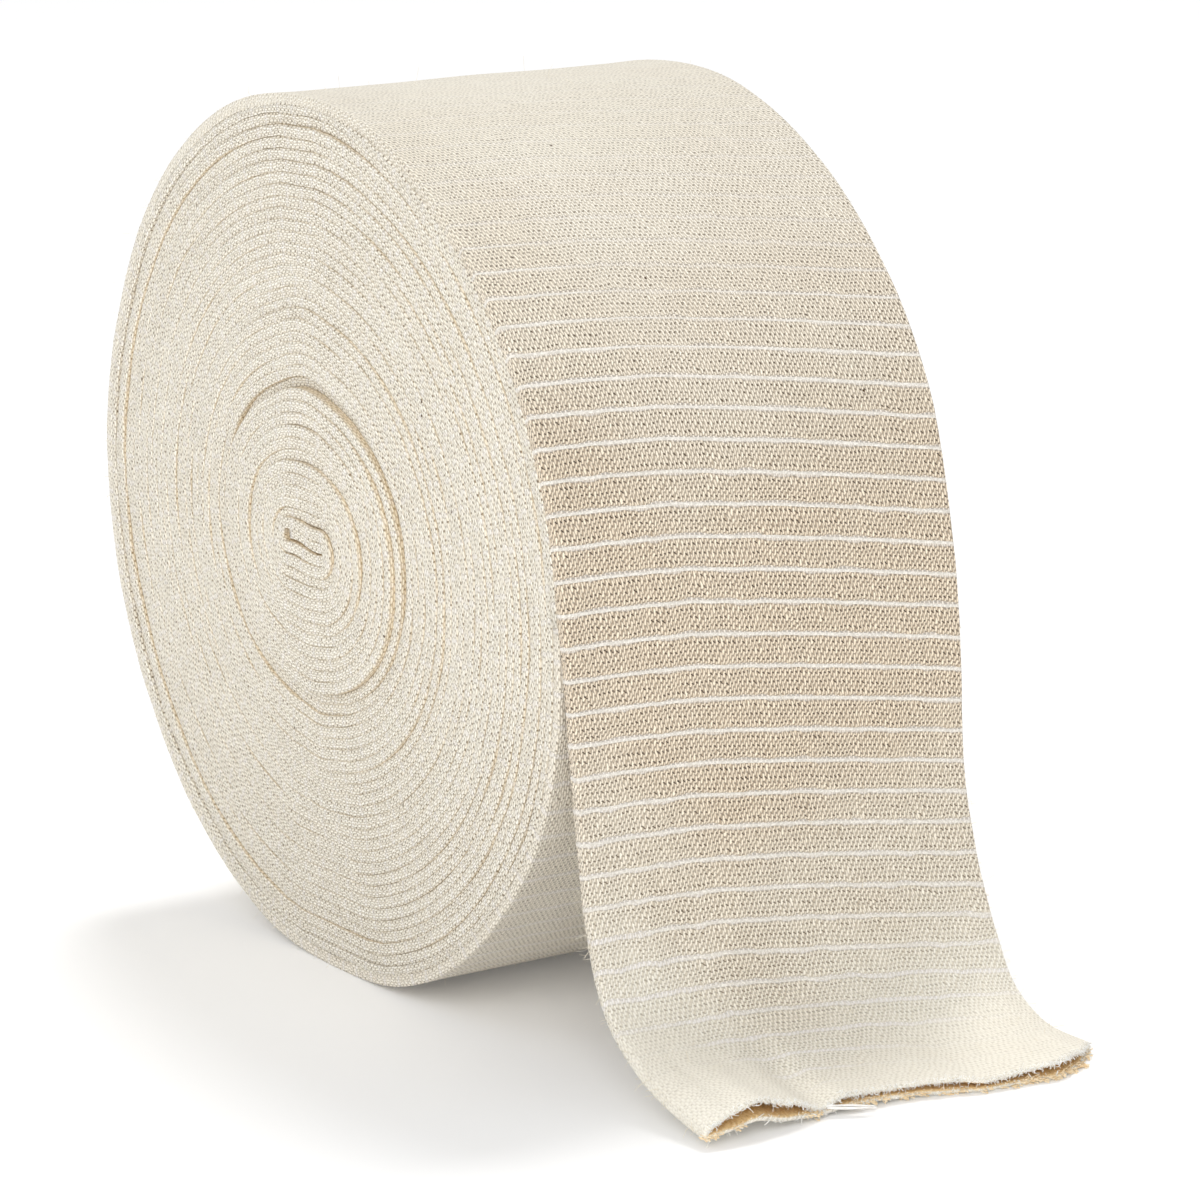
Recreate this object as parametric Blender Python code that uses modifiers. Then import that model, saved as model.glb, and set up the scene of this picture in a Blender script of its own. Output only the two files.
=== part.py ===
# Tubular bandage: a long knitted cotton tube, laid flat, wound on itself into a roll that stands on its rim,
# with a free end that hangs off the front and curves out to a cut mouth on the ground.
# Metres, X along the roll's axis, -Y towards the free end, +Z up. The ground is z = 0 under the roll's axis.

import math

import bmesh
import bpy
import numpy as np

# Driving sizes
FLAT_WIDTH = 0.075
ROLL_HEIGHT = 0.1533
CORE_FOLD = 0.0060
CORE_SLIT = 0.0008
LAYER_THICK = 0.0008
LUMEN_SLIT = 0.0003
PART_GAP = 0.0003
CENTRE_DRIFT = 0.0025

# Turns of the winding, how full each turn is, and how far the roll's weight flattens its underside
TURNS = 38.5
FULL_SHARE = 0.85
FLATTENED = 0.983

# The room for one turn, from the roll's height, and the thickness of the flat tube wound into it
TURN_PITCH = (ROLL_HEIGHT - CORE_SLIT) / (2 * TURNS - 0.75)
WOUND_THICK = FULL_SHARE * TURN_PITCH

# How far the outer turns stand off an even oval: direction from the back in degrees, shift in pitches
OUTLINE_SHARES = (
    (0, 0.60),
    (30, -0.15),
    (60, 0.10),
    (90, 0.20),
    (135, -0.30),
    (180, -0.15),
    (215, 0.10),
    (270, 0.00),
    (315, 0.25),
    (360, 0.60),
)

# Slack in the last turns, under the free end: turn, shift in pitches
SLACK_SHARES = (
    (0.0, 0.0),
    (33.4, 0.0),
    (34.5, 0.08),
    (35.5, 0.25),
    (36.5, 0.50),
    (37.55, 0.80),
    (38.0, 0.0),
    (38.5, 0.0),
)
SLACK_ANGLE = math.radians(203)
SLACK_ANGLE_SPREAD = math.radians(20)

# How far the turns stand out sideways: turn, at the near end, at the far end, both in pitches
SIDE_SHARES = (
    (0.0, 0.55, 0.20),
    (1.6, 0.75, 0.10),
    (2.3, 0.15, 0.30),
    (3.2, 0.70, 0.45),
    (6.4, 0.80, 0.25),
    (7.1, 0.20, -0.20),
    (8.0, 0.75, 0.30),
    (12.2, 0.55, 0.50),
    (13.0, -0.45, 0.10),
    (14.0, 0.15, -0.15),
    (19.0, 0.30, 0.10),
    (20.0, 0.00, 0.25),
    (27.0, 0.15, -0.10),
    (32.0, 0.00, 0.10),
    (34.0, -0.20, 0.15),
    (35.0, 0.10, -0.10),
    (36.0, -0.20, 0.05),
    (37.0, 0.05, 0.00),
    (38.5, 0.00, 0.00),
)

# Steps per turn: up to this turn, this many
STEPS = (
    (9, 16),
    (36.5, 32),
    (TURNS, 64),
)

# The free end from the roll to its cut mouth, for its left fold and then its right one: how far it stands
# forward of the wound strip's end in axis heights, and its height as a share of the height where it starts
TAIL_SHARES = (
    (0.0015, 0.9995, 0.0015, 0.9995),
    (0.0149, 0.8489, 0.0090, 0.8489),
    (0.0249, 0.6801, 0.0120, 0.6741),
    (0.0368, 0.5659, 0.0139, 0.5659),
    (0.0498, 0.4649, 0.0279, 0.4649),
    (0.0667, 0.3588, 0.0558, 0.3588),
    (0.0896, 0.2708, 0.0916, 0.2678),
    (0.1295, 0.1920, 0.1255, 0.1900),
    (0.1892, 0.1354, 0.1633, 0.1193),
    (0.2629, 0.0930, 0.2151, 0.0647),
    (0.3426, 0.0647, 0.2888, 0.0303),
    (0.4222, 0.0465, 0.3724, 0.0147),
    (0.4979, 0.0334, 0.4700, 0.0131),
)
TAIL_STATIONS = 17

# The cut mouth in flat widths: place across, reach past the fold line, lift of the under layer, of the upper
MOUTH_SHARES = (
    (-0.500, 0.000, 0.000, 0.000),
    (-0.440, 0.000, 0.006, 0.030),
    (-0.375, 0.000, 0.016, 0.043),
    (-0.290, 0.000, 0.000, 0.020),
    (-0.200, -0.012, -0.010, -0.014),
    (-0.145, -0.012, -0.006, 0.004),
    (-0.060, -0.008, -0.005, 0.001),
    (0.030, 0.006, -0.006, -0.002),
    (0.100, 0.030, -0.006, -0.002),
    (0.180, 0.066, -0.004, 0.000),
    (0.270, 0.074, -0.003, 0.006),
    (0.350, 0.088, -0.002, 0.010),
    (0.425, 0.060, 0.000, 0.006),
    (0.500, 0.000, 0.000, 0.000),
)
# Shares of the flat width over which the mouth's reach and lift fade out up the free end
MOUTH_REACH_SHARE = 0.22
MOUTH_LIFT_SHARE = 0.42

# Soft dents and ridges across the free end: place across and along, angle in degrees, length, spread, lift.
# Places and lengths in flat widths, along measured from the mouth.
DENT_SHARES = (
    (-0.17, 0.52, 62, 0.26, 0.050, 0.010),
    (-0.30, 0.34, 68, 0.20, 0.060, -0.010),
    (0.05, 0.26, 12, 0.30, 0.060, 0.009),
    (0.28, 0.17, -8, 0.22, 0.050, -0.007),
)

ROLL_COLOUR = (0.78, 0.74, 0.66, 1.0)
TAIL_COLOUR = (0.80, 0.74, 0.62, 1.0)


def eased(table, column, at):
    """A column of a table at a place along its first column, level at each row so that it has no kinks."""
    places = [row[0] for row in table]
    values = [row[column] for row in table]
    at = min(max(at, places[0]), places[-1])
    for i in range(len(places) - 1):
        if at <= places[i + 1]:
            share = (at - places[i]) / (places[i + 1] - places[i])
            share = share * share * (3 - 2 * share)
            return values[i] + share * (values[i + 1] - values[i])
    return values[-1]


def through(table, column, at):
    """A column of evenly counted rows at a row number, as a smooth curve through the rows."""
    last = len(table) - 1
    at = min(max(at, 0.0), float(last))
    i = min(int(at), last - 1)
    share = at - i
    before = table[max(i - 1, 0)][column]
    here = table[i][column]
    after = table[i + 1][column]
    beyond = table[min(i + 2, last)][column]
    start = (after - before) / 2
    end = (beyond - here) / 2
    cube = 2 * here - 2 * after + start + end
    square = 3 * (after - here) - 2 * start - end
    return ((cube * share + square) * share + start) * share + here


def axis_height():
    """Height of the roll's axis over the ground, set by the flattened underside of its last turn."""
    lowest = TURN_PITCH * (TURNS - 1.25) + (CORE_SLIT + WOUND_THICK) / 2
    return FLATTENED * lowest + WOUND_THICK / 2


def wound_point(turn):
    """Middle of the wound strip at a turn, as (y, z) from the roll's axis. Whole turns point to the back."""
    angle = 2 * math.pi * turn
    half = math.floor(2 * turn + 0.5)
    side = 1 if half % 2 == 0 else -1
    radius = TURN_PITCH * (half - 1) / 2 + (CORE_SLIT + WOUND_THICK) / 2
    along = math.cos(angle)
    up = math.sin(angle)
    share = turn / TURNS
    rounder = CORE_FOLD * (abs(along) - along * along) * min(1.0, share * 1.4)
    shift = TURN_PITCH * eased(OUTLINE_SHARES, 1, math.degrees(angle) % 360) * share * share
    away = math.remainder(angle - SLACK_ANGLE, 2 * math.pi) / SLACK_ANGLE_SPREAD
    shift += TURN_PITCH * eased(SLACK_SHARES, 1, turn) * max(0.0, 1 - away * away) ** 2
    grown = radius - rounder + shift
    y = side * CORE_FOLD + grown * along
    z = side * TURN_PITCH / 4 + grown * up
    y += CENTRE_DRIFT * (1 - share) ** 2
    floor = -FLATTENED * (radius - side * TURN_PITCH / 4)
    return y, max(z, floor)


def wound_turns():
    """The turns where the strip gets a pair of points, with both ends of each straight run."""
    places = []
    start = 0.25
    for last, count in STEPS:
        steps = round((last - start) * count)
        for i in range(steps):
            places.append(start + i / count)
        start = last
    places.append(TURNS)
    return places


def wound_strip():
    """The winding as an open strip one surface thick, edge to edge along X."""
    points = []
    for turn in wound_turns():
        near = -FLAT_WIDTH / 2 - TURN_PITCH * eased(SIDE_SHARES, 1, turn)
        far = FLAT_WIDTH / 2 + TURN_PITCH * eased(SIDE_SHARES, 2, turn)
        quarter = (2 * turn) % 1
        corners = [turn]
        if abs(quarter - 0.5) < 1e-6:
            corners = [turn - 1e-7, turn + 1e-7]
        for place in corners:
            if place < 0.25:
                continue
            y, z = wound_point(place)
            if not points:
                points.append((near, far, 0.7 * CORE_FOLD, z))
            points.append((near, far, y, z))
    verts = []
    for near, far, y, z in points:
        verts.append((near, y, z + axis_height()))
        verts.append((far, y, z + axis_height()))
    faces = []
    for i in range(len(points) - 1):
        a = 2 * i
        faces.append((a, a + 1, a + 3, a + 2))
    return verts, faces


def solid_from(name, verts, faces, thick, offset, colour, collection):
    """A mesh object from an open surface, given its thickness, with a material of its own."""
    mesh = bpy.data.meshes.new(name)
    mesh.from_pydata(verts, [], faces)
    tidy = bmesh.new()
    tidy.from_mesh(mesh)
    bmesh.ops.recalc_face_normals(tidy, faces=tidy.faces[:])
    tidy.to_mesh(mesh)
    tidy.free()
    obj = bpy.data.objects.new(name, mesh)
    collection.objects.link(obj)
    shell = obj.modifiers.new("Thickness", "SOLIDIFY")
    shell.thickness = thick
    shell.offset = offset
    shell.use_even_offset = True
    shell.use_quality_normals = True
    material = bpy.data.materials.new(name + "_knit")
    material.use_nodes = True
    shader = material.node_tree.nodes["Principled BSDF"]
    shader.inputs["Base Color"].default_value = colour
    shader.inputs["Roughness"].default_value = 0.95
    shader.inputs["Metallic"].default_value = 0.0
    obj.data.materials.append(material)
    return obj


def dent_lift(across, along):
    lift = 0.0
    for at_across, at_along, angle, length, spread, height in DENT_SHARES:
        turn = math.radians(angle)
        dx = across - at_across
        dy = along - at_along
        u = (dx * math.cos(turn) + dy * math.sin(turn)) / length
        v = (-dx * math.sin(turn) + dy * math.cos(turn)) / spread
        lift += height * math.exp(-(u * u + v * v) / 2)
    return lift


def tail_lines(spot):
    """The left and right fold lines of the free end at a row number, as (y, z)."""
    end_y, end_z = wound_point(TURNS)
    top = axis_height() + end_z - 2 * PART_GAP
    folds = []
    for column in (0, 2):
        forward = through(TAIL_SHARES, column, spot) * axis_height()
        height = through(TAIL_SHARES, column + 1, spot) * top
        folds.append(np.array([end_y - forward, height]))
    return folds


def tail_surface():
    """The free end as an open tube: one loop of points per station, from the roll down to the mouth."""
    rows = len(TAIL_SHARES) - 1
    spots = np.linspace(0, rows, TAIL_STATIONS)
    across = [row[0] for row in MOUTH_SHARES]
    half_out = LAYER_THICK + LUMEN_SLIT / 2
    verts = []
    per_loop = 0
    for spot in spots:
        left, right = tail_lines(spot)
        ahead = tail_lines(min(spot + 0.05, rows))
        behind = tail_lines(max(spot - 0.05, 0))
        run = ahead[0] + ahead[1] - behind[0] - behind[1]
        run = run / np.linalg.norm(run)
        out = np.array([run[1], -run[0]])
        to_mouth = 0.0
        for step in np.linspace(spot, rows, 60)[:-1]:
            more = (rows - spot) / 59
            to_mouth += float(np.linalg.norm(tail_lines(step + more)[0] - tail_lines(step)[0]))
        to_mouth /= FLAT_WIDTH
        reach_share = max(0.0, 1 - to_mouth / MOUTH_REACH_SHARE)
        lift_share = max(0.0, 1 - to_mouth / MOUTH_LIFT_SHARE)
        lift_share = lift_share * lift_share * (3 - 2 * lift_share)
        loop = []
        upper = []
        under = []
        for place in across[1:-1]:
            share = place + 0.5
            base = left + (right - left) * share
            base = base + run * FLAT_WIDTH * reach_share * eased(MOUTH_SHARES, 1, place)
            dent = dent_lift(place, to_mouth)
            over = dent + lift_share * eased(MOUTH_SHARES, 3, place)
            below = dent + lift_share * eased(MOUTH_SHARES, 2, place)
            top = base + out * (half_out + over * FLAT_WIDTH)
            low = base - out * (half_out - below * FLAT_WIDTH)
            if low[1] < 0:
                low[1] = 0.0
                top[1] = max(top[1], 2 * half_out)
            upper.append((place * FLAT_WIDTH, *top))
            under.append((place * FLAT_WIDTH, *low))
        for fold, base in ((-1, left), (1, right)):
            ends = []
            for degrees in (90, 30, -30, -90):
                turn = math.radians(degrees)
                x = fold * (FLAT_WIDTH / 2 - half_out + half_out * math.cos(turn))
                point = base + out * half_out * math.sin(turn)
                point[1] = max(point[1], 0.0)
                ends.append((x, *point))
            if fold < 0:
                loop = list(reversed(ends)) + upper
            else:
                loop = loop + ends + list(reversed(under))
        per_loop = len(loop)
        verts.extend(loop)
    faces = []
    for i in range(len(spots) - 1):
        for j in range(per_loop):
            a = i * per_loop + j
            b = i * per_loop + (j + 1) % per_loop
            faces.append((a, b, b + per_loop, a + per_loop))
    return verts, faces


def build():
    for obj in list(bpy.data.objects):
        bpy.data.objects.remove(obj, do_unlink=True)
    collection = bpy.data.collections.new("tubular_bandage")
    bpy.context.scene.collection.children.link(collection)
    verts, faces = wound_strip()
    solid_from("wound_roll", verts, faces, WOUND_THICK, 0.0, ROLL_COLOUR, collection)
    verts, faces = tail_surface()
    solid_from("free_tail", verts, faces, LAYER_THICK, -1.0, TAIL_COLOUR, collection)


build()
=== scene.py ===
import math

import bpy
import numpy as np
from mathutils import Matrix, Vector


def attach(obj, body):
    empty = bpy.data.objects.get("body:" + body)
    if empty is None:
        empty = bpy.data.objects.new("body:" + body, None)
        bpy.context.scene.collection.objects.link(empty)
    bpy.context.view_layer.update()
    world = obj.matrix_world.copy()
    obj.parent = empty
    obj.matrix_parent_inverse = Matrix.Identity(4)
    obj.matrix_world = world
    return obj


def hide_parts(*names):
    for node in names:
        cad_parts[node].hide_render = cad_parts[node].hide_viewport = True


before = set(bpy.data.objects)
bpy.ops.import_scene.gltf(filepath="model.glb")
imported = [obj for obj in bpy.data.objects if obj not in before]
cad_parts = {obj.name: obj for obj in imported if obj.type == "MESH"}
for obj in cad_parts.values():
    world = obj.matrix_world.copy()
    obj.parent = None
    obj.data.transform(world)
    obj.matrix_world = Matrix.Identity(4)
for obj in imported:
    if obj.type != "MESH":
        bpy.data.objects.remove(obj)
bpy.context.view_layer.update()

# Sizes that match the CAD, in metres, with the count of turns and the share that the weight leaves of the height
FLAT_WIDTH = 0.075
TURN_PITCH = 0.0020
TURNS = 38.5
CORE_FOLD = 0.0060
CORE_SLIT = 0.0008
WOUND_THICK = 0.0017
FLATTENED = 0.983
CENTRE_DRIFT = 0.0025
LAYER_THICK = 0.0008
PART_GAP = 0.0003
AXIS_HEIGHT = FLATTENED * (TURN_PITCH * (TURNS - 1.25) + (CORE_SLIT + WOUND_THICK) / 2) + WOUND_THICK / 2

# Knit, in millimetres
WALE = 0.905
THREAD_EVERY = 5.2
THREAD_BAND = 0.95
COURSE = (THREAD_EVERY - THREAD_BAND) / 3

# The winding's oval: degrees round it and how far it lies out there, in turn pitches
OUTLINE = ((0, 0.60), (30, -0.15), (60, 0.10), (90, 0.20), (135, -0.30), (180, -0.15), (215, 0.10), (270, 0.0),
           (315, 0.25), (360, 0.60))

# Slack of the outer turns: the turn and how far it stands off in one direction, in turn pitches
SLACK = ((0.0, 0.0), (33.4, 0.0), (34.5, 0.08), (35.5, 0.25), (36.5, 0.50), (37.55, 0.80), (38.0, 0.0), (38.5, 0.0))
SLACK_DIRECTION = math.radians(203)
SLACK_SPREAD = math.radians(20)

# Steps of the end faces: the turn and how far its near and its far fold stick out, in turn pitches
SIDE_STEPS = (
    (0.0, 0.45, 0.20), (1.6, 0.70, 0.10), (2.3, 0.40, 0.30), (3.2, 0.68, 0.45), (6.2, 0.80, 0.25), (7.3, 0.45, -0.20),
    (8.2, 0.72, 0.30), (11.9, 0.60, 0.50), (13.2, -0.40, 0.10), (14.4, 0.15, -0.15), (19.0, 0.30, 0.10),
    (20.0, 0.00, 0.25), (27.0, 0.15, -0.10), (32.0, 0.00, 0.10), (34.0, -0.20, 0.15), (35.0, 0.10, -0.10),
    (36.0, -0.20, 0.05), (37.0, 0.05, 0.00), (38.5, 0.00, 0.00),
)

# Fold lines of the free end from the roll to the mouth: y and z of the left one, y and z of the right one. Each y is
# in axis heights forwards of the roll's end, each z a share of the height there
TAIL = (
    (0.0015, 0.9995, 0.0015, 0.9995), (0.0149, 0.8489, 0.0090, 0.8489), (0.0249, 0.6801, 0.0120, 0.6741),
    (0.0368, 0.5659, 0.0139, 0.5659), (0.0498, 0.4649, 0.0279, 0.4649), (0.0667, 0.3588, 0.0558, 0.3588),
    (0.0896, 0.2708, 0.0916, 0.2678), (0.1295, 0.1920, 0.1255, 0.1900), (0.1892, 0.1354, 0.1633, 0.1193),
    (0.2629, 0.0930, 0.2151, 0.0647), (0.3426, 0.0647, 0.2888, 0.0303), (0.4222, 0.0465, 0.3724, 0.0147),
    (0.4979, 0.0334, 0.4700, 0.0131),
)

# The mouth, in flat widths: place across, how far the cloth reaches on, lift of the lower and of the upper layer
MOUTH = (
    (-0.500, 0.000, 0.000, 0.000), (-0.440, 0.000, 0.006, 0.030), (-0.375, 0.000, 0.016, 0.043),
    (-0.290, 0.000, 0.000, 0.020), (-0.200, -0.012, -0.010, -0.014), (-0.145, -0.012, -0.006, 0.004),
    (-0.060, -0.008, -0.005, 0.001), (0.030, 0.006, -0.006, 0.003), (0.100, 0.030, -0.006, 0.006),
    (0.180, 0.066, -0.004, 0.003), (0.270, 0.074, -0.003, 0.012), (0.350, 0.088, -0.002, 0.021),
    (0.425, 0.060, 0.000, 0.020), (0.500, 0.000, 0.000, 0.000),
)

# Distances from the mouth at which that reach and that lift have faded, in flat widths
MOUTH_REACH_FADE = 0.22
MOUTH_LIFT_FADE = 0.42

# Dents of the free end: place across, distance from the mouth, degrees, length, spread and height, in flat widths
DENTS = (
    (-0.17, 0.52, 62, 0.26, 0.050, 0.010), (-0.30, 0.34, 68, 0.20, 0.060, -0.010),
    (0.05, 0.26, 12, 0.30, 0.060, 0.009), (0.28, 0.17, -8, 0.22, 0.050, -0.007),
)

# By distance from the mouth in millimetres: how strongly the knit's painted relief shows, that is the painted highlight
# on its stitches and the painted shade in its pores, weaker where light from above would fill the holes; how beige it
# is, how much deeper the elastic threads lie on the rim, and how far the stitches lean back
PAINTED_RELIEF = ((0, 0.12), (8, 0.18), (20, 0.62), (40, 1.0), (120, 1.0), (160, 0.88), (190, 0.70), (215, 0.52), (300, 0.6),
            (620, 0.7))
BEIGE = ((0, 0.0), (14, 0.05), (45, 0.55), (70, 1.0), (100, 1.0), (130, 0.60), (170, 0.25), (215, 0.10), (620, 0.3))
RIM_SINK = ((0, 0.0), (120, 0.0), (150, 0.35), (172, 0.9), (190, 1.5), (215, 2.0), (240, 1.6), (300, 0.5), (620, 0.3))
LEAN_BACK = ((0, 0.35), (25, 0.0), (110, 0.1), (150, 0.8), (215, 1.0), (240, 0.9), (310, 0.3), (620, 0.3))

# Turns at which the roll's piece ends and at which the last turn becomes the free end, and a step too small to see
WOUND_END = 37.5
OUTER_END = 38.47
NUDGE = 1e-7

# The turn from which the roll's outer side shows, over how many it comes, and how far its edges are rounded in mm
LAST_START = 36.3
LAST_FADE = 0.3
LAST_ROUND = 1.5

# The folded start of the tube in the core, in fold lengths, and its stations; then the stations per turn further on
CORE_START = (1.28, -0.4)
CORE_STATIONS = 9
INNER_PER_TURN = ((5, 32), (14, 48), (TURNS, 72))
OUTER_PER_TURN = 144

# Stations of the free end, the row of its table at which it starts, and how many stations its joint is eased over
TAIL_STATIONS = 110
TAIL_START = 0.3
JOINT_REACH = 6
FREE_REACH = 8

# Heights over the ground in metres: of the cloth and of the upper layer's outside, and half the opening inside
GROUND_GAP = 0.00005
UPPER_HEIGHT = 0.0019
INSIDE_HALF = 0.0002

# How deep the inside of the mouth is drawn and how far the cut's rim bulges, in metres
INSIDE_DEPTH = 0.045
RIM_BULGE = 0.00025

# The knit runs askew: how far a course lies further on at the far fold, in metres, and its share at places across
SKEW = 0.0087
SKEW_PLACES = (0, 0.13, 0.31, 0.54, 0.75, 1.0)
SKEW_SHARES = (0, 0.02, 0.10, 0.36, 0.64, 1.0)

# How far the flat runs of the inner turns bow outwards, by turn, as a share of the most, and that most in metres
CORE_BOW = ((0.0, 0.0), (4.0, 0.3), (8.0, 0.65), (12.0, 0.95), (16.0, 1.0), (32.0, 0.0), (38.5, 0.0))
CORE_BOW_MOST = 0.0016
CORE_BEND = 0.0007

# Section of the wound tube: distance in from the fold's edge and half thickness, in millimetres
FOLD = ((0.0, 0.0), (0.02, 0.58), (0.07, 0.87), (0.18, 0.98), (0.6, 1.01), (2.2, 0.97), (5.0, 0.90), (14.0, 0.86))
TAIL_HALF = 0.86

# Elastic threads, in metres: half height and half width, and how deep they lie everywhere, at the mouth and on the rim
THREAD_RADII = (0.00015, 0.00052)
THREAD_DEPTH = 0.00011
MOUTH_DEPTH = 0.00022
MOUTH_DEPTH_FADE = 26
RIM_DEPTH = 0.00012

# The cut: fringe, tan loops under the mouth at places across the tube in metres, and strands of the loose end
FRINGE_COUNT = 4500
FRINGE_RADIUS = 0.000044
LOOP_COUNT = 520
LOOP_RADIUS = 0.00009
LOOP_PATCHES = ((-0.037, -0.0345), (-0.032, -0.030), (-0.019, -0.014), (-0.0105, -0.0025), (0.0, 0.0135),
                (0.0135, 0.0365), (0.018, 0.0365))
STRAND_COUNT = 11
STRAND_RADII = (0.00010, 0.00016)

# Loose fibres: the short ones all over, and a few long ones at the left fold
SHORT_FIBRES = 1300
LONG_FIBRES = 7
FIBRE_RADIUS = 0.000022

# Camera: its place, its axes and its focal length in pixels of the square photograph, from a fit of the roll's outline
EYE = (-0.37989, -0.67132, 0.22420)
RIGHT = Vector((0.85542208, -0.51678468, -0.03444797))
UP = Vector((0.13656352, 0.16089352, 0.97747823))
AHEAD = Vector((0.49960332, 0.8408608, -0.2082058))
FOCAL_PIXELS = 4467.49
PHOTO_PIXELS = 1200.0
SENSOR = 36.0

# Lights: kind, place, the sun's angle or the area's size, and power. Each looks at the middle of the part
LIGHTS = (
    ("sun", "SUN", (0.36, 0.34, 1.0), math.radians(18), 1.48),
    ("front", "AREA", (-0.8, -1.0, 0.62), 0.9, 9.5),
    ("back", "AREA", (-0.9, 0.6, 1.1), 0.8, 1.8),
)
LIT_PLACE = (0, -0.02, 0.06)
WORLD_STRENGTH = 0.56
FLOOR_REACH = 6


def eased(table, column, at):
    """A column of a table at the places in an array, level at each row."""
    at = np.asarray(at, float)
    places = np.array([row[0] for row in table])
    values = np.array([row[column] for row in table])
    i = np.clip(np.searchsorted(places, at, side="right") - 1, 0, len(places) - 2)
    share = np.clip((at - places[i]) / (places[i + 1] - places[i]), 0, 1)
    share = share * share * (3 - 2 * share)
    return values[i] + share * (values[i + 1] - values[i])


def waves(at, seed, step, count=5):
    """Smooth noise about zero along an array of places, with that step as its longest half wave."""
    rng = np.random.default_rng(seed)
    total = np.zeros_like(np.asarray(at, float))
    for k in range(count):
        size = 1 / (1 + 0.7 * k)
        total += size * np.sin(np.asarray(at) * math.pi / step * (1 + 0.83 * k) + rng.uniform(0, 2 * math.pi))
    return total / 2


def wound_points(turns):
    """Middle of the wound tube at an array of turns, as y and z over the ground."""
    angle = 2 * math.pi * turns
    half = np.floor(2 * turns + 0.5)
    side = np.where(half % 2 == 0, 1.0, -1.0)
    radius = TURN_PITCH * (half - 1) / 2 + (CORE_SLIT + WOUND_THICK) / 2
    along, up = np.cos(angle), np.sin(angle)
    share = turns / TURNS
    rounder = CORE_FOLD * (np.abs(along) - along**2) * np.minimum(1.0, share * 1.4)
    shift = TURN_PITCH * eased(OUTLINE, 1, np.degrees(angle) % 360) * share**2
    away = (np.mod(angle - SLACK_DIRECTION + math.pi, 2 * math.pi) - math.pi) / SLACK_SPREAD
    shift = shift + TURN_PITCH * eased(SLACK, 1, turns) * np.maximum(0.0, 1 - away**2) ** 2
    grown = radius - rounder + shift
    y = side * CORE_FOLD + grown * along + CENTRE_DRIFT * (1 - share) ** 2
    z = side * TURN_PITCH / 4 + grown * up
    z = np.maximum(z, -FLATTENED * (radius - side * TURN_PITCH / 4))
    return y, z + AXIS_HEIGHT


def wound_places(first, last, per_turn):
    """Turns from first to last, with both ends of each straight run at the top and the bottom."""
    places = [first]
    at = first
    while at < last - 1e-9:
        count = per_turn(at)
        at = min(round(at * count) / count + 1 / count, last)
        places.append(at)
    out = []
    for at in places:
        if abs((2 * at) % 1 - 0.5) < 1e-6 and first < at < last:
            out += [at - NUDGE, at + NUDGE]
        else:
            out.append(at)
    return np.array(out)


def directions(y, z):
    """Unit run and outward directions along a path in the YZ plane."""
    dy, dz = np.gradient(y), np.gradient(z)
    size = np.hypot(dy, dz)
    return dy / size, dz / size


def skew(share):
    """How far a course lies further on at a place across the tube, in metres."""
    return SKEW * np.interp(share, SKEW_PLACES, SKEW_SHARES)


def new_piece(name, verts, loops, starts, uvs=None, look=None):
    """A smooth mesh object from its points, the corners of its faces, and where each face starts among them."""
    mesh = bpy.data.meshes.new(name)
    mesh.vertices.add(len(verts))
    mesh.vertices.foreach_set("co", verts.ravel())
    mesh.loops.add(len(loops))
    mesh.loops.foreach_set("vertex_index", loops)
    mesh.polygons.add(len(starts))
    mesh.polygons.foreach_set("loop_start", starts)
    if uvs is not None:
        mesh.uv_layers.new(name="UVMap").data.foreach_set("uv", uvs.astype(np.float32).ravel())
    mesh.update(calc_edges=True)
    mesh.validate()
    mesh.polygons.foreach_set("use_smooth", np.ones(len(mesh.polygons), bool))
    if look is not None:
        shades = look.astype(np.float32).ravel()
        mesh.attributes.new("look", "FLOAT_COLOR", "POINT").data.foreach_set("color", shades)
    obj = bpy.data.objects.new(name, mesh)
    bpy.context.scene.collection.objects.link(obj)
    return obj


def mesh_from(name, grid, u, v, look):
    """A piece with closed ends from a grid of points, one closed loop per station, with UVs in millimetres. look holds,
    at each point, how strongly the knit's painted highlight on the stitches and painted shade in the pores show, how
    beige it is, how far its stitches lean the other way, and how far it is outside, where the cloth isn't ochre."""
    n, m = grid.shape[:2]
    i, j = np.meshgrid(np.arange(n - 1), np.arange(m), indexing="ij")
    a = (i * m + j).ravel()
    b = (i * m + (j + 1) % m).ravel()
    faces = np.stack([a, b, b + m, a + m], -1)
    around = ((i, j), (i, j + 1), (i + 1, j + 1), (i + 1, j))
    corners = [np.stack([u[at], v[at]], -1).reshape(-1, 2) for at in around]
    ends = ((0, slice(None, None, -1)), (n - 1, slice(None)))
    end_loops = [(np.arange(m) + row * m)[order] for row, order in ends]
    end_uvs = [np.stack([u[row, :m][order], v[row, :m][order]], -1) for row, order in ends]
    loops = np.concatenate([faces.ravel(), *end_loops])
    uvs = np.concatenate([np.stack(corners, 1).reshape(-1, 2), *end_uvs])
    starts = np.concatenate([np.arange(len(faces)) * 4, faces.size + np.arange(len(ends)) * m])
    return new_piece(name, grid.reshape(-1, 3), loops, starts, uvs, look)


def section(fold, body=()):
    """A loop round the flat tube, as (place across from the near fold in mm, side, half thickness in mm)."""
    width = FLAT_WIDTH * 1000
    upper = [*fold, *body, *((width - a, h) for a, h in reversed(fold))]
    return [(a, 1.0, h) for a, h in upper] + [(a, -1.0, h) for a, h in reversed(upper[1:-1])]


def columns(loop):
    """A section's places across as shares of the width, its sides, and its half thicknesses in metres."""
    places, side, half = np.array(loop).T
    return places / (FLAT_WIDTH * 1000), side, half / 1000


def fill_straights(turns, y, z):
    """More stations along each straight run near the core, so that it can bow."""
    rows = []
    for i in range(len(turns) - 1):
        rows.append((turns[i], y[i], z[i]))
        if abs(y[i + 1] - y[i]) > 0.005 and turns[i] < 24:
            for t in np.arange(1, 6) / 6:
                rows.append(tuple(p[i] + t * (p[i + 1] - p[i]) for p in (turns, y, z)))
    rows.append((turns[-1], y[-1], z[-1]))
    return np.array(rows).T


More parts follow.
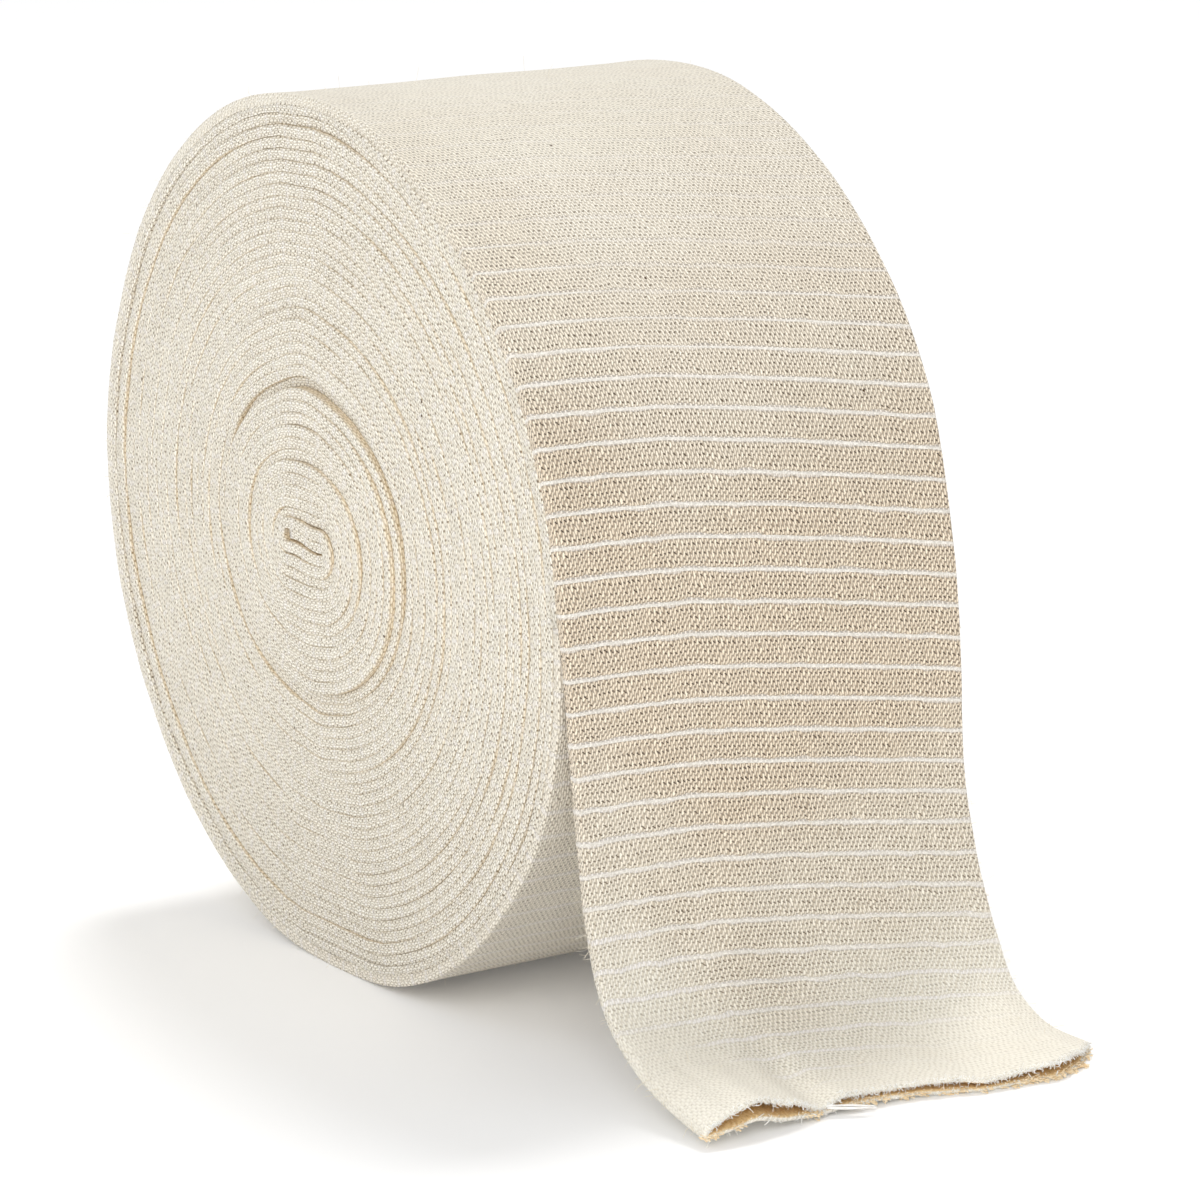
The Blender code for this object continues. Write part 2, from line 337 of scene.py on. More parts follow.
def soften_core(turns, y, z):
    """Bow the flat runs of the inner turns outwards and bend the innermost ones, as soft cloth lies."""
    up = z - AXIS_HEIGHT
    along = (y - CENTRE_DRIFT * (1 - turns / TURNS) ** 2) / CORE_FOLD
    bow = CORE_BOW_MOST * eased(CORE_BOW, 1, turns) * np.tanh(up / 0.003) * np.exp(-((along / 1.15) ** 2))
    bend = CORE_BEND * np.sin(1.9 * along) * np.exp(-((up / 0.005) ** 2)) * np.exp(-((along / 1.8) ** 2))
    return y, z + bow + bend


def wound_roll():
    """The winding from its folded core to where the outer turn begins."""
    def per_turn(at):
        return next(count for end, count in INNER_PER_TURN if at < end)

    turns = wound_places(0.25 + NUDGE, WOUND_END, per_turn)
    y, z = wound_points(turns)
    # The folded start of the tube lies in the core
    start = np.linspace(*CORE_START, CORE_STATIONS) * CORE_FOLD
    y = np.concatenate([start, y])
    z = np.concatenate([np.full(len(start), z[0]), z])
    turns = np.concatenate([np.linspace(0.1, 0.24, len(start)), turns])
    turns, y, z = fill_straights(turns, y, z)
    y, z = soften_core(turns, y, z)
    ry, rz = directions(y, z)
    s = np.concatenate([[0], np.cumsum(np.hypot(np.diff(y), np.diff(z)))])
    near = -FLAT_WIDTH / 2 - TURN_PITCH * eased(SIDE_STEPS, 1, turns)
    near = near + 0.00022 * waves(s, 3, 0.045) + 0.00012 * waves(s, 31, 0.012)
    far = FLAT_WIDTH / 2 + TURN_PITCH * eased(SIDE_STEPS, 2, turns) + 0.00012 * waves(s, 4, 0.045)
    loop = section(FOLD)
    place, side, half = columns(loop)
    x = near[:, None] + (far - near)[:, None] * place[None]
    from_fold = np.minimum(place, 1 - place) * FLAT_WIDTH * 1000
    # The last turn shows under the free end, so its outer side is rounded
    last = np.clip((turns - LAST_START) / LAST_FADE, 0, 1)[:, None]
    fuller = 0.05 * np.exp(-((turns - 7) / 6) ** 2)
    off = (side * half)[None] * (1.0 + fuller + 0.035 * waves(s, 11, 0.028) * np.clip(turns / 6, 0.2, 1))[:, None]
    off = off * (1 - last * (side > 0)[None] * (1 - np.clip(from_fold / LAST_ROUND, 0, 1) ** 0.25)[None])
    grid = np.stack([x, y[:, None] + rz[:, None] * off, z[:, None] - ry[:, None] * off], -1)
    u, v = loop_uv(loop, s)
    look = np.ones(grid.shape[:2] + (4,))
    share = turns[:, None] / TURNS
    at_fold = np.exp(-((from_fold / 0.25) ** 2))[None]
    shown = last * np.clip((from_fold - 0.6) / 1.6, 0, 1)[None]
    deep = np.clip((from_fold - 0.5) / 1.0, 0, 1)[None]
    # How strongly the painted highlight on the stitches and the painted shade in the pores show: less at the fold
    # edges, in full where the last turn shows
    look[..., 0] = 0.88 + 0.10 * share - 0.12 * at_fold + 0.10 * waves(s, 8, 0.05)[:, None]
    look[..., 0] += shown * (1.05 - look[..., 0])
    look[..., 1] = 0.50 + 0.12 * waves(s, 7, 0.09)[:, None] - 0.20 * at_fold
    look[..., 1] += shown * (1.0 - look[..., 1])
    look[..., 2] = 0.5 * (1 - shown)
    look[..., 3] = 1 - deep * np.exp(-((turns[:, None] / 1.1) ** 2)) - 0.32 * (1 - at_fold) * (1 - last)
    look[..., 3] = np.clip(look[..., 3], 0, 1)
    return mesh_from("wound_knit", grid, u, v, look)


def loop_uv(loop, s):
    """UVs in millimetres for a loop of points at each distance along the tube, with the askew knit in them."""
    pts = np.array([(p[0], p[1] * p[2]) for p in loop])
    around = np.concatenate([[0], np.cumsum(np.linalg.norm(np.diff(np.vstack([pts, pts[:1]]), axis=0), axis=1))])
    across = np.concatenate([pts[:, 0], pts[:1, 0]]) / (FLAT_WIDTH * 1000)
    u = np.tile(around[None], (len(s), 1))
    v = (s[:, None] - skew(across)[None]) * 1000
    return u, v


def through(table, column, at):
    """A column of a table at an array of row numbers, as a smooth curve through the rows."""
    values = np.array([row[column] for row in table])
    last = len(values) - 1
    at = np.clip(at, 0, last)
    i = np.minimum(at.astype(int), last - 1)
    t = at - i
    before, here = values[np.maximum(i - 1, 0)], values[i]
    after, beyond = values[i + 1], values[np.minimum(i + 2, last)]
    start, end = (after - before) / 2, (beyond - here) / 2
    cube = 2 * here - 2 * after + start + end
    square = 3 * (after - here) - 2 * start - end
    return ((cube * t + square) * t + start) * t + here


def smooth(values, reach):
    """A running mean that keeps both ends."""
    kernel = np.hanning(2 * reach + 3)[1:-1]
    kernel /= kernel.sum()
    padded = np.concatenate([2 * values[0] - values[reach:0:-1], values, 2 * values[-1] - values[-2 : -reach - 2 : -1]])
    return np.convolve(padded, kernel, "valid")


def outer_path():
    """Left and right middle lines of the last turn and the free end, and how much of each station is free."""
    turns = wound_places(WOUND_END + NUDGE, OUTER_END, lambda at: OUTER_PER_TURN)
    y, z = wound_points(turns)
    rows = np.linspace(TAIL_START, len(TAIL) - 1, TAIL_STATIONS)
    end_y, end_z = wound_points(np.array([TURNS]))
    top = end_z - 2 * PART_GAP
    left_y = np.concatenate([y, end_y - AXIS_HEIGHT * through(TAIL, 0, rows)])
    left_z = np.concatenate([z, top * through(TAIL, 1, rows)])
    right_y = np.concatenate([y, end_y - AXIS_HEIGHT * through(TAIL, 2, rows)])
    right_z = np.concatenate([z, top * through(TAIL, 3, rows)])
    joint = len(y)
    lines = []
    for line in (left_y, left_z, right_y, right_z):
        eased_line = smooth(line, JOINT_REACH)
        eased_line[:JOINT_REACH] = line[:JOINT_REACH]
        lines.append(eased_line)
    free = np.concatenate([np.zeros(joint), np.ones(len(rows))])
    return lines, smooth(free, FREE_REACH)


def outer_loops():
    """Grids of the outer skin and of the inside, the distances along them, their section and the way they run."""
    (ly, lz, ry, rz), free = outer_path()
    mid_y, mid_z = (ly + ry) / 2, (lz + rz) / 2
    dy, dz = directions(mid_y, mid_z)
    s = np.concatenate([[0], np.cumsum(np.hypot(np.diff(mid_y), np.diff(mid_z)))])
    from_mouth = (s[-1] - s) / FLAT_WIDTH
    loop = section(FOLD[:-1], [(FLAT_WIDTH * 1000 * t, TAIL_HALF) for t in np.linspace(0.07, 0.93, 47)])
    place, side, half = columns(loop)
    across = place - 0.5
    base_y = ly[:, None] + (ry - ly)[:, None] * place
    base_z = lz[:, None] + (rz - lz)[:, None] * place
    reach = np.maximum(0, 1 - from_mouth / MOUTH_REACH_FADE)[:, None] * eased(MOUTH, 1, across)[None]
    fade = np.maximum(0, 1 - from_mouth / MOUTH_LIFT_FADE)
    fade = (fade * fade * (3 - 2 * fade))[:, None]
    lift = fade * np.where(side > 0, eased(MOUTH, 3, across), eased(MOUTH, 2, across))[None]
    for at_across, at_along, angle, length, spread, height in DENTS:
        turn = math.radians(angle)
        dx, da = across[None] - at_across, from_mouth[:, None] - at_along
        a = (dx * math.cos(turn) + da * math.sin(turn)) / length
        b = (-dx * math.sin(turn) + da * math.cos(turn)) / spread
        lift = lift + height * np.exp(-(a * a + b * b) / 2)
    ripple = 0.00010 * waves(s, 21, 0.030)[:, None] * np.sin(place * 9.0)[None]
    ripple = ripple + 0.00008 * waves(s, 22, 0.021)[:, None] * np.cos(place * 17.0)[None]
    lift = lift * FLAT_WIDTH + ripple * np.sin(np.pi * place)[None]
    edge = 0.00010 * waves(s, 23, 0.02)[:, None] * np.where(place < 0.5, -1.0, 1.0)[None] * (np.abs(across) > 0.4)
    x = (place - 0.5)[None] * FLAT_WIDTH + edge
    thick = (1 + 0.08 * free)[:, None] * half[None]

    def skin(offset):
        oy = base_y + dy[:, None] * reach * FLAT_WIDTH + dz[:, None] * offset
        oz = base_z + dz[:, None] * reach * FLAT_WIDTH - dy[:, None] * offset
        return oy, oz

    oy, oz = skin(side[None] * thick + lift)
    oz = np.maximum(oz, GROUND_GAP)
    upper_floor = np.where(side[None] > 0, UPPER_HEIGHT * (half / half.max())[None], 0.0)
    oz = np.where((side[None] > 0) & (free[:, None] > 0.5), np.maximum(oz, upper_floor), oz)
    outer = np.stack([x, oy, oz], -1)
    inset = 0.5 + (place - 0.5) * (1 - 2.2 * LAYER_THICK / FLAT_WIDTH)
    xi = (inset - 0.5)[None] * FLAT_WIDTH + edge
    iy, iz = skin(side[None] * np.minimum(thick - LAYER_THICK, INSIDE_HALF) * (half / half.max()) + lift)
    iz = np.maximum(iz, LAYER_THICK)
    inner = np.stack([xi, iy, iz], -1)
    return outer, inner, s, loop, (dy, dz)


def pressed(across):
    """How much nearer the mouth the knit looks at a place across, in mm: the cut end is pressed flat unevenly."""
    left = 14 * np.exp(-((across + 0.45) / 0.22) ** 2)
    return left - 8 * np.exp(-((across + 0.16) / 0.14) ** 2) + 6 * np.clip((across - 0.05) / 0.4, 0, 1)


def outer_cloth():
    """The last turn and the free end with the inside of the mouth, and what the pieces on them are drawn from."""
    outer, inner, s, loop, run = outer_loops()
    u, v = loop_uv(loop, s)
    keep = np.searchsorted(s, s[-1] - INSIDE_DEPTH)
    rim_out = 0.7 * outer[-1] + 0.3 * inner[-1]
    rim_in = 0.3 * outer[-1] + 0.7 * inner[-1]
    push = np.array([0, run[0][-1], run[1][-1]]) * RIM_BULGE
    grid = np.concatenate([outer, (rim_out + push)[None], (rim_in + push)[None], inner[:keep - 1:-1]])
    us = np.concatenate([u, u[-1:], u[-1:], u[:keep - 1:-1]])
    vs = np.concatenate([v, v[-1:] + 0.2, v[-1:] + 0.4, v[:keep - 1:-1]])
    to_mouth = np.concatenate([s[-1] - s, [0.0, 0.0], (s[-1] - s)[:keep - 1:-1]])[:, None] * 1000
    across = columns(loop)[0][None] - 0.5
    shift = to_mouth - pressed(across)
    look = np.ones(grid.shape[:2] + (4,))
    # Along the tube: strength of the painted highlight and painted shade on the knit, how beige it is, and the
    # stitches' lean
    for k, table in enumerate((PAINTED_RELIEF, BEIGE, LEAN_BACK)):
        look[..., k] = eased(table, 1, shift)
    inside = len(s) + 2
    look[inside:, :, 0] = 0.4
    look[inside:, :, 1] = 1.0
    look[inside:, :, 3] = np.clip(0.10 - to_mouth[inside:] / 12, 0, 1)
    return mesh_from("outer_knit", grid, us, vs, look), outer, inner, v, s, run


def tubes_mesh(name, rings, radius_out, radius_side, sides=6, closed=True):
    """Thin threads as one piece. Each is (points, directions of its height), and unless closed it has end faces."""
    verts, faces, ends = [], [], []
    at = 0
    for pts, out in rings:
        n = len(pts)
        if closed:
            tangent = np.roll(pts, -1, 0) - np.roll(pts, 1, 0)
        else:
            tangent = np.gradient(pts, axis=0)
        tangent /= np.linalg.norm(tangent, axis=1)[:, None] + 1e-12
        across = np.cross(out, tangent)
        across /= np.linalg.norm(across, axis=1)[:, None] + 1e-12
        turn = np.arange(sides) * 2 * math.pi / sides
        ring = (pts[:, None] + out[:, None] * (radius_out * np.cos(turn))[None, :, None]
                + across[:, None] * (radius_side * np.sin(turn))[None, :, None])
        verts.append(ring.reshape(-1, 3))
        i, j = np.meshgrid(np.arange(n if closed else n - 1), np.arange(sides), indexing="ij")
        a = at + i * sides + j
        b = at + i * sides + (j + 1) % sides
        c = at + ((i + 1) % n) * sides + (j + 1) % sides
        d = at + ((i + 1) % n) * sides + j
        faces.append(np.stack([a, d, c, b], -1).reshape(-1, 4))
        if not closed:
            ends += [at + np.arange(sides), at + (n - 1) * sides + np.arange(sides)[::-1]]
        at += n * sides
    faces = np.concatenate(faces)
    loops = np.concatenate([faces.ravel(), *ends])
    starts = np.concatenate([np.arange(len(faces)) * 4, faces.size + np.arange(len(ends)) * sides])
    return new_piece(name, np.concatenate(verts), loops, starts)


def skin_normals(grid):
    """Outward unit normals on a grid of closed loops."""
    along = np.gradient(grid, axis=0)
    around = np.roll(grid, -1, 1) - np.roll(grid, 1, 1)
    normal = np.cross(along, around)
    normal /= np.linalg.norm(normal, axis=2)[..., None] + 1e-15
    centre = grid.mean(axis=1, keepdims=True)
    return normal * np.median(np.sign(((grid - centre) * normal).sum(axis=(1, 2))))


def elastic_threads(outer, v):
    """The covered elastic threads that lie in every fourth course of the last turn and the free end."""
    normal = skin_normals(outer)
    rings = []
    m = outer.shape[1]
    low = v[0, :m].max() + 1.0
    high = v[-1, :m].min() - 2.5
    for k in range(int(low / THREAD_EVERY) + 1, int(high / THREAD_EVERY) + 1):
        line = k * THREAD_EVERY + THREAD_BAND / 2
        if line > high or line < low:
            continue
        pts = np.empty((m, 3))
        outs = np.empty((m, 3))
        for j in range(m):
            for c in range(3):
                pts[j, c] = np.interp(line, v[:, j], outer[:, j, c])
                outs[j, c] = np.interp(line, v[:, j], normal[:, j, c])
        outs /= np.linalg.norm(outs, axis=1)[:, None]
        to_mouth = v[-1].min() - line - pressed(pts[:, 0] / FLAT_WIDTH)
        sunk = THREAD_DEPTH + MOUTH_DEPTH * np.clip(1 - to_mouth / MOUTH_DEPTH_FADE, 0, 1)
        sunk = sunk + RIM_DEPTH * eased(RIM_SINK, 1, to_mouth)
        rings.append((pts - outs * sunk[:, None], outs))
    return tubes_mesh("elastic_threads", rings, *THREAD_RADII)


def hairs(name, starts, aims, lengths, radius, seed, curl):
    """Fine bent fibres as one piece, each from its start along its aim."""
    rng = np.random.default_rng(seed)
    t = np.linspace(0, 1, 7)[:, None]
    rings = []
    for start, aim, length in zip(starts, aims, lengths):
        a, b = rng.normal(size=(2, 3)) * curl
        pts = start + length * (aim * t + a * t * t + 0.35 * b * np.sin(3.0 * t))
        pts[:, 2] = np.maximum(pts[:, 2], radius)
        rings.append((pts, np.tile(rng.normal(size=3), (len(pts), 1))))
    return tubes_mesh(name, rings, radius, radius, sides=3, closed=False)


def cut_edge(outer, inner, run):
    """What the scissors left at the mouth: a pale fringe, tan loops on the lower lip, and one frayed thread end."""
    rng = np.random.default_rng(71)
    ring = 0.5 * (outer[-1] + inner[-1])
    ahead = np.array([0, run[0][-1], run[1][-1]])
    m = len(ring)
    half = m // 2 + 1
    # Most of the fringe stands on the upper lip, which is the first half of the ring
    gaps = np.linalg.norm(np.roll(ring, -1, 0) - ring, axis=1)
    weight = gaps * np.where(np.arange(m) < half, 1.0, 0.25)
    at = np.cumsum(weight) / weight.sum()
    count = FRINGE_COUNT
    picks = np.searchsorted(at, rng.random(count))
    share = rng.random(count)[:, None]
    starts = ring[picks] * (1 - share) + ring[(picks + 1) % m] * share + rng.normal(size=(count, 3)) * 0.00020
    aims = 0.6 * ahead + rng.normal(size=(count, 3)) * (0.8, 0.5, 0.7)
    aims /= np.linalg.norm(aims, axis=1)[:, None]
    lengths = 0.00020 + 0.00036 * rng.random(count) ** 3
    fringe = hairs("cut_fringe", starts, aims, lengths, FRINGE_RADIUS, seed=72, curl=0.7)
    rings = []
    t = np.linspace(0, 1, 9)
    under = np.arange(half, m)
    x = ring[under, 0]
    places = np.concatenate([under[(x > low) & (x < high)] for low, high in LOOP_PATCHES])
    for pick in rng.choice(places, LOOP_COUNT):
        base = ring[pick] + (0, 0.0003, 0) + rng.normal(size=3) * (0.0006, 0.0004, 0.00015)
        wide, reach = 0.0003 + 0.0004 * rng.random(), 0.0004 + 0.0007 * rng.random()
        lift = rng.normal() * 0.0003
        pts = base + np.stack([wide * (t - 0.5), -reach * np.sin(math.pi * t), lift * np.sin(math.pi * t)], -1)
        pts[:, 2] = np.maximum(pts[:, 2], 0.00012)
        rings.append((pts, np.tile((0.0, 0.0, 1.0), (9, 1))))
    loops = tubes_mesh("cut_loops", rings, LOOP_RADIUS, LOOP_RADIUS, sides=5, closed=False)
    # The thread end leaves the dip of the upper lip and lies forwards on the ground
    t = np.linspace(0, 1, 16)[:, None]
    start = ring[np.abs(ring[:half, 0] + 0.0135).argmin()] + (0, -0.0002, -0.0002)
    rings = []
    for _ in range(STRAND_COUNT):
        way = np.array([0.0064, -0.0036, -0.0004]) * (0.55 + 0.5 * rng.random())
        base = start + rng.normal(size=3) * (0.0004, 0.0001, 0.00016)
        pts = base + t * way + np.sin(3.0 * t) * rng.normal(size=3) * (0, 0.0003, 0.0002)
        pts[:, 2] = np.maximum(pts[:, 2], 0.00020)
        rings.append((pts, np.tile((0.0, 0.0, 1.0), (16, 1))))
    end = tubes_mesh("loose_end", rings, *STRAND_RADII, sides=6, closed=False)
    return fringe, loops, end


def fuzz(outer, s):
    """Loose fibres that stand off the last turn and the free end, and a few longer ones beside the roll."""
    rng = np.random.default_rng(81)
    normal = skin_normals(outer)
    n, m = outer.shape[:2]
    count = SHORT_FIBRES
    i = rng.integers(0, n, count)
    folds = (0, 1, 2, m // 2 - 1, m // 2, m - 2, m - 1)
    j = np.where(rng.random(count) < 0.45, rng.choice(folds, count), rng.integers(0, m // 2, count))
    starts = outer[i, j]
    aims = normal[i, j] * 0.8 + rng.normal(size=(count, 3)) * 0.6
    lengths = 0.0004 + 0.0011 * rng.random(count) ** 2
    k = np.searchsorted(s, s[-1] - 0.048)
    long_starts = outer[k + rng.integers(-8, 8, LONG_FIBRES), 0]
    long_aims = np.array([-0.7, -0.5, -0.3]) + rng.normal(size=(LONG_FIBRES, 3)) * 0.3
    starts = np.concatenate([starts, long_starts])
    aims = np.concatenate([aims, long_aims])
    lengths = np.concatenate([lengths, 0.002 + 0.003 * rng.random(LONG_FIBRES)])
    return hairs("loose_fibres", starts, aims, lengths, FIBRE_RADIUS, seed=82, curl=0.5)


class Nodes:
    """Short calls that add shader nodes to a material and join them."""

    def __init__(self, name):
        self.material = bpy.data.materials.new(name)
        self.material.use_nodes = True
        self.tree = self.material.node_tree
        self.shader = self.tree.nodes["Principled BSDF"]

    def put(self, socket, value):
        if isinstance(value, bpy.types.NodeSocket):
            self.tree.links.new(value, socket)
        else:
            socket.default_value = value

    def math(self, operation, a, b=0.0, c=0.0, clamp=False):
        node = self.tree.nodes.new("ShaderNodeMath")
        node.operation = operation
        node.use_clamp = clamp
        for socket, value in zip(node.inputs, (a, b, c)):
            self.put(socket, value)
        return node.outputs[0]

    def mix(self, share, a, b):
        """A share of the way from colour a to colour b. The node's colour sockets are 6 and 7, its colour output 2."""
        node = self.tree.nodes.new("ShaderNodeMix")
        node.data_type = "RGBA"
        for spot, value in ((0, share), (6, a), (7, b)):
            self.put(node.inputs[spot], value)
        return node.outputs[2]

    def step(self, value, low, high):
        """A smooth rise from 0 at low to 1 at high."""
        node = self.tree.nodes.new("ShaderNodeMapRange")
        node.interpolation_type = "SMOOTHSTEP"
        for socket, given in zip(node.inputs, (value, low, high, 0.0, 1.0)):
            self.put(socket, given)
        return node.outputs[0]

    def noise(self, vector, scale, detail):
        node = self.tree.nodes.new("ShaderNodeTexNoise")
        self.put(node.inputs["Vector"], vector)
        node.inputs["Scale"].default_value = scale
        node.inputs["Detail"].default_value = detail
        return node.outputs[0]

    def pair(self, a, b, c=0.0):
        node = self.tree.nodes.new("ShaderNodeCombineXYZ")
        for socket, value in zip(node.inputs, (a, b, c)):
            self.put(socket, value)
        return node.outputs[0]

    def stitches(self, wales, course, first, lean):
        """One of the two lattices of stitches: the stitch itself, and the pore where it meets the next one, a mask for
        painted shade whose darkness differs from cell to cell.
        """
        up = self.math("SUBTRACT", self.math("FRACT", course), 0.5)
        bow = self.math("MULTIPLY", self.math("MULTIPLY", up, up), 0.35)
        a = self.math("ADD", wales, self.math("MULTIPLY_ADD", up, lean, bow))
        side = self.math("ABSOLUTE", self.math("MULTIPLY_ADD", self.math("FRACT", a), 2.0, -1.0))
        end = self.math("ABSOLUTE", self.math("MULTIPLY", up, 2.0))
        width = self.math("MULTIPLY_ADD", self.math("MULTIPLY", end, end), -0.22, 0.34)
        stitch = self.math("SUBTRACT", 1.0, self.step(self.math("SUBTRACT", side, width), -0.13, 0.15))
        shaded_pore = self.math("SUBTRACT", 1.0, self.step(side, 0.16, 0.56))
        shaded_pore = self.math("MULTIPLY", shaded_pore, self.step(end, 0.58, 0.90))
        row = self.math("FLOOR", self.math("ADD", course, 0.5))
        cell = self.pair(self.math("FLOOR", a), self.math("ADD", first, row))
        # How dark the painted shade in this cell's pore is
        strength = self.math("MULTIPLY_ADD", self.chance(cell), 0.9, 0.45, clamp=True)
        return stitch, self.math("MULTIPLY", shaded_pore, strength)

    def chance(self, vector):
        """A random value from 0 to 1 for each cell."""
        node = self.tree.nodes.new("ShaderNodeTexWhiteNoise")
        node.noise_dimensions = "2D"
        self.put(node.inputs["Vector"], vector)
        return node.outputs[0]

    def bump(self, height, strength, distance):
        node = self.tree.nodes.new("ShaderNodeBump")
        node.inputs["Strength"].default_value = strength
        node.inputs["Distance"].default_value = distance
        self.put(node.inputs["Height"], height)
        self.put(self.shader.inputs["Normal"], node.outputs[0])

    def dress(self, colour, values):
        """Give the shader its colour and, by socket name, the values that are the same all over."""
        self.put(self.shader.inputs["Base Color"], colour)
        for name, value in values.items():
            self.shader.inputs[name].default_value = value
        return self.material


def srgb(r, g, b):
    """A linear colour from eight-bit values."""
    return tuple(((c / 255 + 0.055) / 1.055) ** 2.4 if c > 10 else c / 3294.6 for c in (r, g, b)) + (1.0,)


# Tones of the knit as (stitch, ground, pore, thread), and of its inside. The stitch tone is the cream yarn with a
# painted highlight, the pore tone is painted shade in the holes between stitches
PALE = (srgb(255, 252, 242), srgb(216, 208, 190), srgb(124, 108, 84), srgb(246, 242, 240))
TAIL_BEIGE = (srgb(255, 240, 216), srgb(178, 160, 138), srgb(54, 41, 28), srgb(230, 224, 217))
ROLL_BEIGE = (srgb(253, 246, 230), srgb(198, 183, 160), srgb(104, 84, 58), srgb(246, 242, 236))
OCHRE = srgb(250, 222, 166)
OCHRE_DEEP = srgb(230, 192, 130)

# Heights of the bump in metres, of the stitches and of the threads' cover
KNIT_BUMP = 0.00025
THREAD_BUMP = 0.0001

# How far the count of courses moves on from one thread's band to the next, so that no two rows share a number
COURSES_APART = 5.0

# Specks of raw cotton: their colour, the width of a cell in millimetres, and the share of cells without one
SPECK_COLOUR = srgb(84, 62, 40)
SPECK_CELL = 1.3
SPECK_FREE = 0.9996


def knit_material(name, pale, beige):
    """The knit, drawn from UVs in millimetres. The mesh's look says where each of its tones shows."""
    n = Nodes(name)
    uv = n.tree.nodes.new("ShaderNodeUVMap")
    uv.uv_map = "UVMap"
    split = n.tree.nodes.new("ShaderNodeSeparateXYZ")
    n.put(split.inputs[0], uv.outputs[0])
    u, v = split.outputs[0], split.outputs[1]
    look = n.tree.nodes.new("ShaderNodeAttribute")
    look.attribute_name = "look"
    parts = n.tree.nodes.new("ShaderNodeSeparateColor")
    n.put(parts.inputs[0], look.outputs[0])
    painted_relief, tone, slant = parts.outputs[0], parts.outputs[1], parts.outputs[2]
    outside = look.outputs["Alpha"]

    def spots(across, along, detail):
        """Noise with that many spots to a millimetre across and along the cloth."""
        return n.noise(n.pair(n.math("MULTIPLY", u, across), n.math("MULTIPLY", v, along)), 1.0, detail)

    wander = n.math("SUBTRACT", spots(0.22, 0.22, 1.0), 0.5)
    jitter = n.math("SUBTRACT", spots(1.1, 1.1, 1.0), 0.5)
    uw = n.math("ADD", u, n.math("MULTIPLY_ADD", wander, 1.1, n.math("MULTIPLY", jitter, 0.45)))
    vw = n.math("ADD", v, n.math("MULTIPLY_ADD", wander, 1.3, n.math("MULTIPLY", jitter, 0.45)))
    # Three courses of stitches and then the elastic thread's band
    place = n.math("FLOORED_MODULO", vw, THREAD_EVERY)
    course = n.math("DIVIDE", n.math("SUBTRACT", place, THREAD_BAND), COURSE)
    first = n.math("MULTIPLY", n.math("FLOOR", n.math("DIVIDE", vw, THREAD_EVERY)), COURSES_APART)
    lean = n.math("MULTIPLY_ADD", slant, -0.7, 0.28)
    wales = n.math("DIVIDE", uw, WALE)
    stitch, shaded_pore = n.stitches(wales, course, first, lean)
    between, shaded_gap = n.stitches(n.math("ADD", wales, 0.5), n.math("ADD", course, 0.5), first, lean)
    stitch = n.math("MAXIMUM", stitch, n.math("MULTIPLY", between, 0.72))
    shaded_pore = n.math("MAXIMUM", shaded_gap, n.math("MULTIPLY", shaded_pore, 0.65))
    band = n.math("SUBTRACT", 1.0, n.step(n.math("ABSOLUTE", n.math("SUBTRACT", place, THREAD_BAND / 2)), 0.30, 0.55))
    # Colour of stitches, ground and pores: painted highlight on the stitches and painted shade in the pores, as strong
    # as the look's painted relief says
    blotch = n.math("MULTIPLY", n.math("SUBTRACT", spots(0.06, 0.06, 2.0), 0.5), 0.35)
    tone = n.math("ADD", tone, blotch, clamp=True)
    slub = spots(2.2, 0.9, 3.0)
    shade = [n.mix(tone, light, dark) for light, dark in zip(pale, beige)]
    # How far the painted highlight on the stitches and the painted shade in the pores show
    amount = n.math("MULTIPLY_ADD", painted_relief, 0.85, 0.15)
    weave = n.math("MULTIPLY", stitch, n.math("MULTIPLY_ADD", n.step(slub, 0.25, 0.70), 0.35, 0.75), clamp=True)
    middle = n.mix(0.5, shade[0], shade[1])
    high = n.mix(amount, middle, shade[0])
    low = n.mix(amount, middle, shade[1])
    colour = n.mix(weave, low, high)
    # Painted shade in the pores between the stitches
    colour = n.mix(n.math("MULTIPLY", shaded_pore, amount, clamp=True), colour, shade[2])
    # The elastic thread's band between the stitches
    ticks = n.math("MULTIPLY_ADD", stitch, 0.40, 0.40)
    upright = n.math("MULTIPLY_ADD", slant, -0.85, 1.0, clamp=True)
    shown = n.math("MULTIPLY", n.step(painted_relief, 0.05, 0.60), upright)
    colour = n.mix(n.math("MULTIPLY", n.math("MULTIPLY", band, ticks), shown), colour, shade[3])
    # Specks, and ochre where the inside shows
    cell_u, cell_v = n.math("DIVIDE", u, SPECK_CELL), n.math("DIVIDE", v, SPECK_CELL)
    du = n.math("SUBTRACT", n.math("FRACT", cell_u), 0.5)
    dv = n.math("SUBTRACT", n.math("FRACT", cell_v), 0.5)
    near = n.math("SQRT", n.math("ADD", n.math("MULTIPLY", du, du), n.math("MULTIPLY", dv, dv)))
    chance = n.chance(n.pair(n.math("FLOOR", cell_u), n.math("FLOOR", cell_v)))
    rare = n.math("GREATER_THAN", chance, SPECK_FREE)
    speck = n.math("MULTIPLY", rare, n.math("SUBTRACT", 1.0, n.step(near, 0.12, 0.24)))
    colour = n.mix(speck, colour, SPECK_COLOUR)
    colour = n.mix(n.math("SUBTRACT", 1.0, outside), colour, n.mix(n.step(slub, 0.3, 0.7), OCHRE_DEEP, OCHRE))
    relief = n.math("ADD", n.math("MULTIPLY", stitch, amount), n.math("MULTIPLY", spots(5.0, 5.0, 3.0), 0.35))
    relief = n.math("MULTIPLY_ADD", n.math("MULTIPLY", band, shown), 0.6, relief)
    n.bump(n.math("MULTIPLY_ADD", shaded_pore, -0.5, relief), 0.7, KNIT_BUMP)
    return n.dress(colour, {
        "Roughness": 0.92, "Specular IOR Level": 0.15, "Sheen Weight": 0.12, "Sheen Roughness": 0.6})


